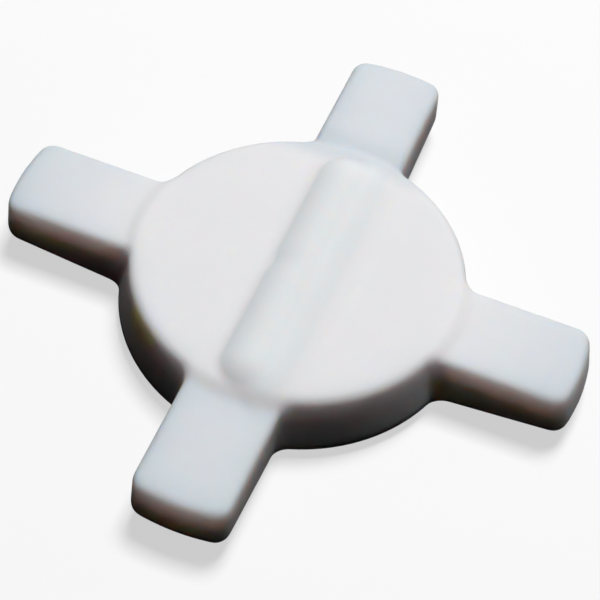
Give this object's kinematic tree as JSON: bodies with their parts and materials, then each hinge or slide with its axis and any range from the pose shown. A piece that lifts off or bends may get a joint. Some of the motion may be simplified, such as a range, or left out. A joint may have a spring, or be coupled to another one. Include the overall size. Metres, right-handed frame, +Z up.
{
  "type": "magnetic stir bar",
  "caption": "Flat white stirring disc with paddle arms in a cross and a rounded ridge over a sealed bar magnet, spun by a magnetic stirrer to mix liquid.",
  "frame": {"origin": "centre of the foot of the disc, on the surface it rests on", "axes": "+Z up through the disc, +Y along the ridge and the magnet inside it, +X to the right-hand arm; the four arms lie along X and Y"},
  "size_m": [0.05, 0.05, 0.0073],
  "materials": {
    "white_fluoroplastic": "smooth waxy white, slightly translucent",
    "magnet_alloy": "ground grey magnet alloy"
  },
  "bodies": {
    "root": {"moulded_body": "white_fluoroplastic", "bar_magnet": "magnet_alloy"}
  },
  "joints": []
}
